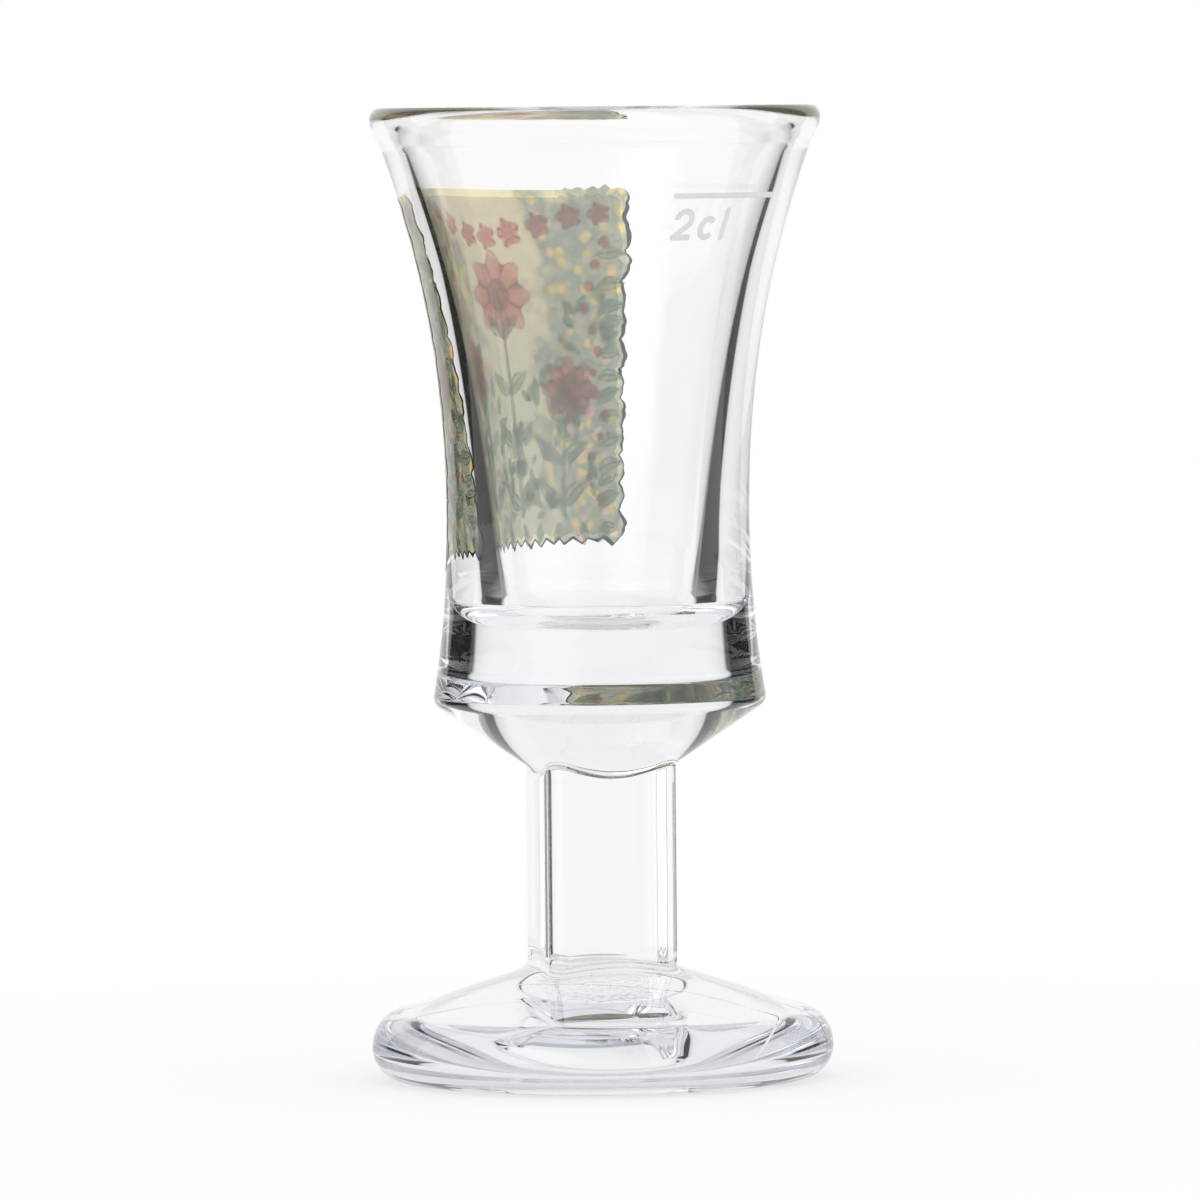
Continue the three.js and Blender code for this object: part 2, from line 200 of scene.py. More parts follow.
class FlowerTransfer(bpy.types.PropertyGroup):
    """The picture transfer, fired on the back of the bowl."""

    bearing: angle("Bearing", 223, "Where the transfer's middle is, from the front")
    width: length("Width", 28.2, "Width of the panel round the wall")
    height: length("Height", 35, "Height of the panel")
    below_rim: length("Below rim", 9, "Gap between the rim and the panel")
    inset: length("Ground inset", 0.7, "How far the white ground stays inside the panel")
    tips: length("Tips", 1.15, "Reach of the ragged tips")
    bloom_radius: length("Bloom radius", 4.45, "Radius of the large bloom")
    side_bloom_radius: length("Side bloom radius", 3.5, "Radius of the two side blooms")
    eye_radius: length("Eye radius", 1.65, "Radius of a bloom's centre")
    twig_width: length("Twig width", 0.7, "Width of a twig at its foot")
    twig_spacing: length("Twig spacing", 6.9, "Space between the twigs' feet")
    leaf_length: length("Leaf length", 4.4, "Length of a twig's lowest leaves")
    cover: factor("Ground cover", 0.3, "How much of the colours the white ground hides from inside")
    clear: factor("Ink clearness", 0.9, "How much of the light passes through the colours")
    ground: colour("Ground", (240, 240, 236), "Colour of the white ground")
    sky: colour("Upper field", (255, 243, 196), "Colour of the field's upper part")
    meadow: colour("Lower field", (232, 232, 200), "Colour of the field's lower part")
    bush: colour("Bush", (200, 202, 170), "Colour of the bushes beside the blooms")
    bush_cool: colour("Bush shade", (168, 184, 162), "Colour of the bushes' shaded leaves")
    edge: colour("Edge", (46, 44, 34), "Colour of the field's outline")
    leaf: colour("Leaf", (190, 212, 192), "Colour of the leaves")
    leaf_dark: colour("Leaf line", (128, 150, 132), "Colour of the leaves' veins and outlines")
    petal: colour("Petal", (236, 150, 140), "Colour of the petals")
    petal_light: colour("Petal edge", (250, 214, 204), "Colour of the petals' outer ends")
    eye: colour("Eye", (255, 226, 140), "Colour of the blooms' centres")


class StudioLook(bpy.types.PropertyGroup):
    """Surroundings of the glass."""

    white_half: angle("White half", 41.5, "Half width of the white backdrop, seen from the glass")
    white_half_low: angle("White half, low", 36, "Half width of the backdrop's lower part")
    low_edge: angle("Lower part", -17, "Elevation below which the backdrop is narrower")
    edge_fall: factor("Edge fall", 0.28, "How much darker the backdrop is at its sides")
    fall_width: angle("Fall width", 11, "Width over which the backdrop darkens towards its sides")
    dark_end: angle("Dark end", 72, "Where the dark cards beside the backdrop end")
    dark_low: angle("Dark foot", -22, "Elevation of the dark cards' lower edge")
    dark_high: angle("Dark top", 52, "Elevation of the dark cards' upper edge")
    window_bearing: angle("Window", 36, "Where the soft window on the left stands, from straight in front")
    window_half: angle("Window half width", 20, "Half width of the soft window")
    window_level: number("Window level", 2, "Brightness of the soft window")
    card_level: factor("Card level", 0.015, "Brightness of the dark cards")
    white_level: factor("White level", 0.97, "Brightness of the backdrop, seen through the glass")
    floor_radius: length("Floor radius", 120, "Radius of the floor")
    floor_level: factor("Floor level", 0.9, "Brightness of the floor seen through the glass")
    floor_shadow: factor("Floor shadow", 0.4, "How much of the floor's brightness takes the shadow")


class Value:
    """A socket that carries a number; an expression on it adds Math nodes."""

    def __init__(self, nodes, socket):
        self.nodes, self.socket = nodes, socket

    def math(self, operation, *others, clamp=False):
        node = self.nodes.add(
            "ShaderNodeMath", {"operation": operation, "use_clamp": clamp}, dict(enumerate((self, *others)))
        )
        return Value(self.nodes, node.outputs[0])

    def swapped(self, operation, other):
        node = self.nodes.add("ShaderNodeMath", {"operation": operation}, {0: other, 1: self})
        return Value(self.nodes, node.outputs[0])

    def __add__(self, other):
        return self.math("ADD", other)

    def __radd__(self, other):
        return self.math("ADD", other)

    def __sub__(self, other):
        return self.math("SUBTRACT", other)

    def __rsub__(self, other):
        return self.swapped("SUBTRACT", other)

    def __mul__(self, other):
        return self.math("MULTIPLY", other)

    def __rmul__(self, other):
        return self.math("MULTIPLY", other)

    def __truediv__(self, other):
        return self.math("DIVIDE", other)

    def __rtruediv__(self, other):
        return self.swapped("DIVIDE", other)

    def __pow__(self, other):
        return self.math("POWER", other)

    def __abs__(self):
        return self.math("ABSOLUTE")

    def larger(self, other):
        return self.math("MAXIMUM", other)

    def smaller(self, other):
        return self.math("MINIMUM", other)

    def cosine(self):
        return self.math("COSINE")

    def rise(self, low, high):
        """0 below low, 1 above high, and a straight ramp between them."""
        return ((self - low) / (high - low)).math("ADD", 0, clamp=True)

    def within(self, low, high, soft):
        """1 between low and high, with soft edges."""
        return self.rise(low - soft / 2, low + soft / 2) * (1 - self.rise(high - soft / 2, high + soft / 2))


class Nodes:
    """The nodes of one material or world."""

    def __init__(self, owner):
        owner.use_nodes = True
        self.tree = owner.node_tree
        self.tree.nodes.clear()

    def add(self, kind, settings=None, sockets=None):
        node = self.tree.nodes.new(kind)
        for name, setting in (settings or {}).items():
            setattr(node, name, setting)
        for name, value in (sockets or {}).items():
            if isinstance(value, Value):
                value = value.socket
            if isinstance(value, bpy.types.NodeSocket):
                self.tree.links.new(value, node.inputs[name])
            else:
                node.inputs[name].default_value = value
        return node

    def value(self, node, output=0):
        return Value(self, node.outputs[output])

    def axes(self, vector):
        parts = self.add("ShaderNodeSeparateXYZ", None, {0: vector}).outputs
        return [Value(self, part) for part in parts]

    def noise(self, vector, scale, detail=2.0, roughness=0.5):
        sockets = {"Vector": vector, "Scale": scale, "Detail": detail, "Roughness": roughness}
        return self.value(self.add("ShaderNodeTexNoise", None, sockets), "Fac")

    def mix(self, share, low, high):
        """A colour between low and high."""
        node = self.add("ShaderNodeMix", {"data_type": "RGBA"}, {"Factor": share})
        for socket, value in ((node.inputs[6], low), (node.inputs[7], high)):
            if isinstance(value, bpy.types.NodeSocket):
                self.tree.links.new(value, socket)
            else:
                socket.default_value = (*value[:3], 1)
        return node.outputs[2]

    def bump(self, height, distance, strength=1.0):
        sockets = {"Height": height, "Distance": distance, "Strength": strength}
        return self.add("ShaderNodeBump", None, sockets).outputs[0]


def opaque(tint):
    return (*tint, 1)


def close_material(nodes, sockets, volume=None):
    """Ends a material in its Principled shader, with a volume shader where the inside takes some light."""
    shader = nodes.add("ShaderNodeBsdfPrincipled", None, sockets)
    ends = {"Surface": shader.outputs[0]}
    if volume:
        ends["Volume"] = volume.outputs[0]
    nodes.add("ShaderNodeOutputMaterial", None, ends)


def new_material(name):
    material = bpy.data.materials.new(name)
    return material, Nodes(material)


def smooth_larger(first, second, width):
    """The larger of two numbers, rounded where they are nearly equal."""
    near = max(width - abs(first - second), 0) / width
    return max(first, second) + near * near * width / 4


def bend(start, control, end, steps):
    """Points of a curve from start to end that leaves and arrives towards control, without its start."""
    points = []
    for i in range(1, steps + 1):
        t = i / steps
        weights = ((1 - t) ** 2, 2 * t * (1 - t), t * t)
        points.append(tuple(sum(w * p[k] for w, p in zip(weights, (start, control, end))) for k in (0, 1)))
    return points


def between(start, end, steps):
    """Evenly spaced numbers from start to end, without start."""
    return [start + (end - start) * i / steps for i in range(1, steps + 1)]


class Outline:
    """Heights and radii of the glass, worked out from its sizes."""

    def __init__(self, sizes):
        self.sizes = s = sizes
        self.half = s.stem_side / 2
        self.slope = math.tan(s.slope)
        self.cone = math.tan(s.cone_angle)
        self.rest_radius = s.foot_radius - s.edge_reach
        self.dish_radius = self.rest_radius - s.ring_width
        self.shoulder_turn = math.atan2(s.shoulder, s.edge_reach * self.slope)
        self.shoulder_radius = self.rest_radius + s.edge_reach * math.cos(self.shoulder_turn)
        self.shoulder_height = s.edge_height + s.shoulder * math.sin(self.shoulder_turn)
        self.slope_rise = self.slope * (self.shoulder_radius - self.half)
        self.foot_joint = self.shoulder_height + self.slope_rise + s.foot_neck
        self.bowl_joint = self.foot_joint + s.stem_length
        self.cone_foot = self.bowl_joint + s.bowl_neck
        self.heel = self.cone_foot + self.cone * (s.heel_radius - self.half)
        self.waist = self.heel + s.heel_to_waist
        self.bead_foot = self.waist + s.waist_to_bead
        self.rim = self.bead_foot + s.bead_height
        self.lip = self.rim - s.lip_rise
        self.lip_middle = s.lip_radius - s.lip_thickness / 2
        self.floor = self.heel + s.solid_base
        self.bore_foot = self.floor + s.floor_round
        self.bore_top = self.rim - s.lip_inside
        self.bore_length = self.bore_top - self.bore_foot
        self.bore_taper = math.tan(s.bore_draft)
        self.bore_top_radius = s.lip_radius - s.lip_thickness
        self.bore_flare = self.bore_top_radius - s.bore_radius - self.bore_taper * self.bore_length

    def square(self, turn):
        """Distance from the axis to the stem's rounded square."""
        quarter = (turn - self.sizes.stem_turn) % QUARTER_TURN
        quarter = min(quarter, QUARTER_TURN - quarter)
        inner = self.half - self.sizes.stem_round
        if self.half * math.tan(quarter) <= inner:
            return self.half / math.cos(quarter)
        reach = math.hypot(inner, inner)
        off = math.pi / 4 - quarter
        return reach * math.cos(off) + math.sqrt(self.sizes.stem_round**2 - (reach * math.sin(off)) ** 2)

    def wall(self, height):
        """Outside radius of the bowl's wall."""
        s = self.sizes
        reach, radius = s.heel_to_waist, s.heel_radius
        if height > self.waist:
            reach, radius = s.waist_to_bead, s.bead_radius
        widening = (abs(height - self.waist) / reach) ** s.wall_curve
        return s.waist_radius + (radius - s.waist_radius) * widening

    def cavity(self, height):
        """Radius of the cavity above its rounded floor."""
        up = height - self.bore_foot
        flare = self.bore_flare * (up / self.bore_length) ** self.sizes.bore_curve
        return self.sizes.bore_radius + self.bore_taper * up + flare

    def hollow(self, radius):
        """Height of the hollow under the foot."""
        return self.sizes.dish_depth * (1 - (radius / self.dish_radius) ** 2)


class Shell:
    """Rings of points round the axis, closed by a point at each end."""

    def __init__(self):
        self.turns = [FULL_TURN * i / ROUND_STEPS for i in range(ROUND_STEPS)]
        self.rings = []

    def round(self, radius, height):
        self.rings.append([(radius, height)] * ROUND_STEPS)

    def shaped(self, reach, height):
        self.rings.append([(reach(turn), height) for turn in self.turns])

    def build(self, name, first, last, joints=()):
        """The mesh object; first and last are the end points' heights, and joints names the welded ends."""
        points = [(0, 0, first)]
        for ring in self.rings:
            points += [(r * math.sin(t), -r * math.cos(t), z) for (r, z), t in zip(ring, self.turns)]
        points.append((0, 0, last))
        faces, welds = [], []
        steps, top = ROUND_STEPS, 1 + (len(self.rings) - 1) * ROUND_STEPS
        for j in range(steps):
            after = (j + 1) % steps
            faces += [(0, 1 + after, 1 + j), (len(points) - 1, top + j, top + after)]
            welds += ["first" in joints, "last" in joints]
        for i in range(len(self.rings) - 1):
            low = 1 + i * steps
            for j in range(steps):
                after = (j + 1) % steps
                faces.append((low + j, low + after, low + after + steps, low + j + steps))
                welds.append(False)
        mesh = bpy.data.meshes.new(name)
        mesh.from_pydata(points, [], faces)
        mesh.polygons.foreach_set("material_index", [int(weld) for weld in welds])
        mesh.polygons.foreach_set("use_smooth", [True] * len(faces))
        mesh.set_sharp_from_angle(angle=SHARP_EDGE)
        obj = bpy.data.objects.new(name, mesh)
        bpy.context.scene.collection.objects.link(obj)
        return obj


class Films:
    """Thin closed ink films on the bowl's outside, gathered into one mesh."""

    def __init__(self, outline, bearing, wrap, foot):
        self.outline, self.bearing, self.wrap, self.foot = outline, bearing, wrap, foot
        self.points, self.faces, self.maps = [], [], []

    def place(self, x, y, lift):
        turn, height = self.bearing + x / self.wrap, self.foot + y
        radius = self.outline.wall(height) + lift
        return radius * math.sin(turn), -radius * math.cos(turn), height

    def add(self, columns, rows, spot, inner, outer):
        """One film; spot gives a grid corner's place and its place on the film's own map."""
        start, count = len(self.points), (columns + 1) * (rows + 1)
        spots = [spot(i / columns, j / rows) for j in range(rows + 1) for i in range(columns + 1)]
        self.points += [self.place(x, y, outer) for x, y, *_ in spots]
        self.points += [self.place(x, y, inner) for x, y, *_ in spots]

        def face(corners, sides):
            self.faces.append([start + c + side * count for c, side in zip(corners, sides)])
            self.maps.append([spots[c][2:4] for c in corners])

        def at(i, j):
            return j * (columns + 1) + i

        for j in range(rows):
            for i in range(columns):
                corners = [at(i, j), at(i + 1, j), at(i + 1, j + 1), at(i, j + 1)]
                face(corners, (0, 0, 0, 0))
                face(corners[::-1], (1, 1, 1, 1))
        edge = [at(i, 0) for i in range(columns)] + [at(columns, j) for j in range(rows)]
        edge += [at(i, rows) for i in range(columns, 0, -1)] + [at(0, j) for j in range(rows, 0, -1)]
        for here, there in zip(edge, edge[1:] + edge[:1]):
            face((here, there, there, here), (1, 1, 0, 0))

    def build(self, name):
        mesh = bpy.data.meshes.new(name)
        mesh.from_pydata(self.points, [], self.faces)
        layer = mesh.uv_layers.new(name="film")
        flat = [share for corners in self.maps for corner in corners for share in corner]
        layer.data.foreach_set("uv", flat)
        mesh.polygons.foreach_set("use_smooth", [True] * len(self.faces))
        mesh.set_sharp_from_angle(angle=SHARP_EDGE)
        obj = bpy.data.objects.new(name, mesh)
        bpy.context.scene.collection.objects.link(obj)
        return obj


def finish_piece(obj, slot, materials, *nodes):
    """Gives a piece its materials, says what it rides on, and hides the CAD nodes that it stands for."""
    for material in materials:
        obj.data.materials.append(material)
    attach(obj, "root")
    if nodes:
        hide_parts(*nodes)


def clear_glass(name, finish, seam=None, pad_radius=0.0):
    """Clear glass with a slow ripple, and with a mould seam and a stippled pad where the piece has them."""
    material, nodes = new_material(name)
    where = nodes.add("ShaderNodeTexCoord").outputs["Object"]
    x, y, z = nodes.axes(where)
    ripple = nodes.noise(where, 55, 1.5)
    height = ripple * finish.ripple
    if seam is not None:
        across = abs(x * math.cos(seam) + y * math.sin(seam))
        height = height + (1 - across.rise(0, finish.seam_width)) * finish.seam_height
    roughness = 0.0
    if pad_radius:
        out = (x * x + y * y) ** 0.5
        pad = (1 - out.rise(pad_radius * 0.6, pad_radius)) * (1 - z.rise(3 * MM, 3.4 * MM))
        grain = nodes.noise(where, 1 / finish.stipple_pitch, 1.0)
        height = height + pad * grain * finish.stipple
        worn = (1 - z.rise(0.02 * MM, 0.25 * MM)) * nodes.noise(where, 900, 3).rise(0.4, 0.7)
        roughness = pad * 0.12 + worn * 0.25
    normal = nodes.bump(height, 1.0)
    losses = [-math.log(part) / finish.tint_depth for part in finish.tint]
    density = max(losses)
    depth = nodes.add("ShaderNodeVolumeAbsorption", None, {
        "Color": opaque([1 - loss / density for loss in losses]), "Density": density,
    })
    close_material(nodes, {
        "Base Color": (1, 1, 1, 1),
        "Roughness": roughness,
        "IOR": GLASS_IOR,
        "Transmission Weight": 1.0,
        "Normal": normal,
    }, depth)
    return material


def welded_face(name):
    """A face inside the fused glass, which doesn't show."""
    material, nodes = new_material(name)
    clear = nodes.add("ShaderNodeBsdfTransparent")
    nodes.add("ShaderNodeOutputMaterial", None, {"Surface": clear.outputs[0]})
    return material


def fired_enamel(name, tint):
    """Fired white enamel: fine grain, pinholes and a dull surface."""
    material, nodes = new_material(name)
    where = nodes.add("ShaderNodeTexCoord").outputs["Object"]
    grain = nodes.noise(where, 3000, 3)
    cloud = nodes.noise(where, 500, 2)
    shade = (grain * 0.6 + cloud * 0.4).rise(0.3, 0.7)
    worn = tuple(0.86 * part for part in tint)
    close_material(nodes, {
        "Base Color": nodes.mix(shade, worn, tint),
        "Roughness": 0.45 + grain * 0.25,
        "Normal": nodes.bump(grain, 0.01 * MM),
    })
    return material


def printed_ink(name, paint, cover=1.0, clear=0.0):
    """Fired ink that lets some light through; paint gives its colour from the film's map and the place."""
    material, nodes = new_material(name)
    coords = nodes.add("ShaderNodeTexCoord").outputs
    where = coords["Object"]
    grain = nodes.noise(where, 2600, 3)
    close_material(nodes, {
        "Base Color": paint(nodes, coords["UV"], where, grain),
        "Roughness": 0.3 + grain * 0.2,
        "Alpha": cover,
        "IOR": 1.0 if clear else 1.5,
        "Transmission Weight": clear,
        "Coat Weight": 0.5 if clear else 0.0,
        "Normal": nodes.bump(grain, 0.006 * MM),
    })
    return material


def uneven(index, seed):
    """A fixed uneven number from 0 to 1."""
    return random.Random(index * 7919 + seed * 104729).random()


def leafy(share, count, reach, seed, taper=0.85):
    """Tips of uneven reach along an edge, pointed where taper is large and round where it is small."""
    place = share * count
    index = min(int(place), count - 1)
    along = place - index
    peak = 0.3 + 0.4 * uneven(index, seed + 1)
    high = reach * (0.25 + 0.75 * uneven(index, seed))
    return high * (along / peak if along < peak else (1 - along) / (1 - peak)) ** taper


def fade(share, width):
    """1 at an edge, falling to 0 over a width."""
    return max(0, 1 - share / width) ** 1.5


class GLASS_OT_foot(bpy.types.Operator):
    """Builds the foot with its resting ring, hollow, pad and square neck."""

    bl_idname = "glass.foot"
    bl_label = "Foot"

    def execute(self, context):
        scene = context.scene
        sizes, finish = scene.glass_sizes, scene.glass_finish
        outline, shell = Outline(sizes), Shell()
        pad_edge = outline.hollow(sizes.pad_radius)
        pad_face = pad_edge - sizes.pad_height
        pad_flat = sizes.pad_radius - sizes.pad_round
        pad_corner, pad_end = (sizes.pad_radius, pad_face), (sizes.pad_radius, pad_edge)
        for radius in between(0, pad_flat, 14):
            shell.round(radius, pad_face)
        for radius, height in bend((pad_flat, pad_face), pad_corner, pad_end, 12):
            shell.round(radius, height)
        for radius in between(sizes.pad_radius, outline.dish_radius, HOLLOW_STEPS):
            shell.round(radius, outline.hollow(radius))
        for radius in between(outline.dish_radius, outline.rest_radius, 6):
            shell.round(radius, 0)
        for turn in between(-QUARTER_TURN, 0, 20):
            shell.round(
                outline.rest_radius + sizes.edge_reach * math.cos(turn),
                sizes.edge_height * (1 + math.sin(turn)),
            )
        for turn in between(0, outline.shoulder_turn, 20):
            shell.round(
                outline.rest_radius + sizes.edge_reach * math.cos(turn),
                sizes.edge_height + sizes.shoulder * math.sin(turn),
            )
        for height in between(outline.shoulder_height, outline.foot_joint, WALL_STEPS):
            top = outline.shoulder_radius - (height - outline.shoulder_height) / outline.slope
            shell.shaped(lambda turn: smooth_larger(outline.square(turn), top, sizes.foot_fillet), height)
        obj = shell.build("foot_glass", pad_face, outline.foot_joint, ("last",))
        glass = clear_glass("foot clear glass", finish, finish.foot_seam_bearing, sizes.pad_radius)
        finish_piece(obj, "clear_glass", (glass, welded_face("foot weld")), "foot")
        return {"FINISHED"}


class GLASS_OT_stem(bpy.types.Operator):
    """Builds the square stem between its two welded faces."""

    bl_idname = "glass.stem"
    bl_label = "Stem"

    def execute(self, context):
        scene = context.scene
        outline, shell = Outline(scene.glass_sizes), Shell()
        shell.shaped(outline.square, outline.foot_joint)
        for height in between(outline.foot_joint, outline.bowl_joint, 16):
            shell.shaped(outline.square, height)
        obj = shell.build("stem_glass", outline.foot_joint, outline.bowl_joint, ("first", "last"))
        glass = clear_glass("stem clear glass", scene.glass_finish, scene.glass_finish.seam_bearing)
        finish_piece(obj, "clear_glass", (glass, welded_face("stem weld")), "stem")
        return {"FINISHED"}


class GLASS_OT_bowl(bpy.types.Operator):
    """Builds the bowl: square neck, cone, heel, waisted wall, bead, lip and cavity."""

    bl_idname = "glass.bowl"
    bl_label = "Bowl"

    def execute(self, context):
        scene = context.scene
        sizes = scene.glass_sizes
        outline, shell = Outline(sizes), Shell()
        heel_in = sizes.heel_radius - sizes.heel_round * math.cos(sizes.cone_angle)
        heel_start = (heel_in, outline.cone_foot + outline.cone * (heel_in - outline.half))
        heel_end_height = outline.heel + sizes.heel_round
        heel_end = (outline.wall(heel_end_height), heel_end_height)

        def cone_reach(turn, height):
            cone = outline.half + (height - outline.cone_foot) / outline.cone
            return smooth_larger(outline.square(turn), cone, sizes.cone_fillet)

        shell.shaped(outline.square, outline.bowl_joint)
        for height in between(outline.bowl_joint, heel_start[1], CONE_STEPS):
            shell.shaped(lambda turn: cone_reach(turn, height), height)
        for radius, height in bend(heel_start, (sizes.heel_radius, outline.heel), heel_end, 10):
            shell.round(radius, height)
        for height in between(heel_end_height, outline.bead_foot, WALL_STEPS):
            shell.round(outline.wall(height), height)
        for radius, height in self.lip(outline):
            shell.round(radius, height)
        for height in between(outline.bore_top, outline.bore_foot, CAVITY_STEPS):
            shell.round(outline.cavity(height), height)
        corner = sizes.bore_radius - sizes.floor_round
        for turn in between(0, QUARTER_TURN, 18):
            shell.round(
                corner + sizes.floor_round * math.cos(turn),
                outline.bore_foot - sizes.floor_round * math.sin(turn),
            )
        for radius in between(corner, 0, 10)[:-1]:
            shell.round(radius, outline.floor)
        obj = shell.build("bowl_glass", outline.bowl_joint, outline.floor, ("first",))
        glass = clear_glass("bowl clear glass", scene.glass_finish)
        finish_piece(obj, "clear_glass", (glass, welded_face("bowl weld")), "bowl")
        return {"FINISHED"}

    def lip(self, outline):
        """Points out along the bead, over the rim and down into the cavity."""
        s = outline.sizes
        lean = math.atan(s.wall_curve * (s.bead_radius - s.waist_radius) / s.waist_to_bead)
        swell = (s.lip_radius - s.bead_radius) / math.tan(lean + s.bead_swell)
        control = (s.lip_radius, min(outline.bead_foot + swell, outline.lip))
        points = bend((s.bead_radius, outline.bead_foot), control, (s.lip_radius, outline.lip), 24)
        for turn in between(0, QUARTER_TURN, 14):
            radius = outline.lip_middle + (s.lip_radius - outline.lip_middle) * math.cos(turn)
            points.append((radius, outline.lip + s.lip_rise * math.sin(turn)))
        inside = outline.bore_taper + s.bore_curve * outline.bore_flare / outline.bore_length
        control = (min(outline.bore_top_radius + inside * s.lip_inside, outline.lip_middle), outline.rim)
        end = (outline.bore_top_radius, outline.bore_top)
        return points + bend((outline.lip_middle, outline.rim), control, end, 16)


class GLASS_OT_fill_mark(bpy.types.Operator):
    """Fires the fill line and its characters on the front of the bowl."""

    bl_idname = "glass.fill_mark"
    bl_label = "Fill mark"

    def execute(self, context):
        scene = context.scene
        outline, mark = Outline(scene.glass_sizes), scene.glass_fill_mark
        low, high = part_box("fill_line")
        line = (low.z + high.z) / 2
        foot = line - mark.line_thickness / 2 - mark.gap - mark.tall
        enamel = fired_enamel("fired white enamel", mark.enamel)
        edge, half = mark.stroke / 2, mark.wide / 2
        pitch = mark.wide + mark.stroke + mark.spacing

        rise = mark.tall - half - edge
        sweep = between(math.pi, -math.pi / 5, 28)
        arch = [(0.0, rise)] + [(half + half * math.cos(t), rise + half * math.sin(t)) for t in sweep]
        digit = arch + self.straight(arch[-1], (0, edge), 8)
        opening = math.radians(40)
        small = (mark.small - mark.stroke) / 2
        ring = [
            (half + half * math.cos(t), mark.small / 2 + small * math.sin(t))
            for t in [opening] + between(opening, FULL_TURN - opening, 40)
        ]
        bar = [(0, 0)] + self.straight((0, 0), (0, mark.tall), 10)
        base = [(-edge, edge)] + self.straight((-edge, edge), (mark.wide + edge, edge), 8)
        level = [(0, 0)] + self.straight((0, 0), (mark.line_length, 0), 40)
        rows = (
            ("fill_line", ((level, mark.line_thickness),), None),
            ("mark_digit", ((digit, mark.stroke), (base, mark.stroke)), 0),
            ("mark_unit_c", ((ring, mark.stroke),), 1),
            ("mark_unit_l", ((bar, mark.stroke),), 2),
        )
        for name, strokes, index in rows:
            films = Films(outline, mark.bearing, outline.wall(line), line if index is None else foot)
            for layer, (path, width) in enumerate(strokes):
                self.stroke(films, path, width, mark, index, pitch, edge, layer)
            finish_piece(films.build(name + "_enamel"), "mark_enamel", (enamel,), name)
        return {"FINISHED"}

    def straight(self, start, end, steps):
        return list(zip(between(start[0], end[0], steps), between(start[1], end[1], steps)))

    def stroke(self, films, path, width, mark, index, pitch, edge, layer):
        """One stroke along a path, with softened ends."""
        rows = len(path) - 1
        slant = 0 if index is None else math.tan(mark.slant)
        shift = 0 if index is None else edge + index * pitch

        def spot(u, v):
            here = round(v * rows)
            before, after = path[max(here - 1, 0)], path[min(here + 1, rows)]
            ahead = Vector((after[0] - before[0], after[1] - before[1])).normalized()
            ends = 0.82 if here in (0, rows) else 1
            off = (2 * u - 1) * width / 2 * ends
            x, y = path[here][0] + ahead.y * off, path[here][1] - ahead.x * off
            return x + y * slant + shift, y, u, v

        inner, outer = MARK_FILM
        films.add(4, rows, spot, inner * MM, (outer + 0.004 * layer) * MM)


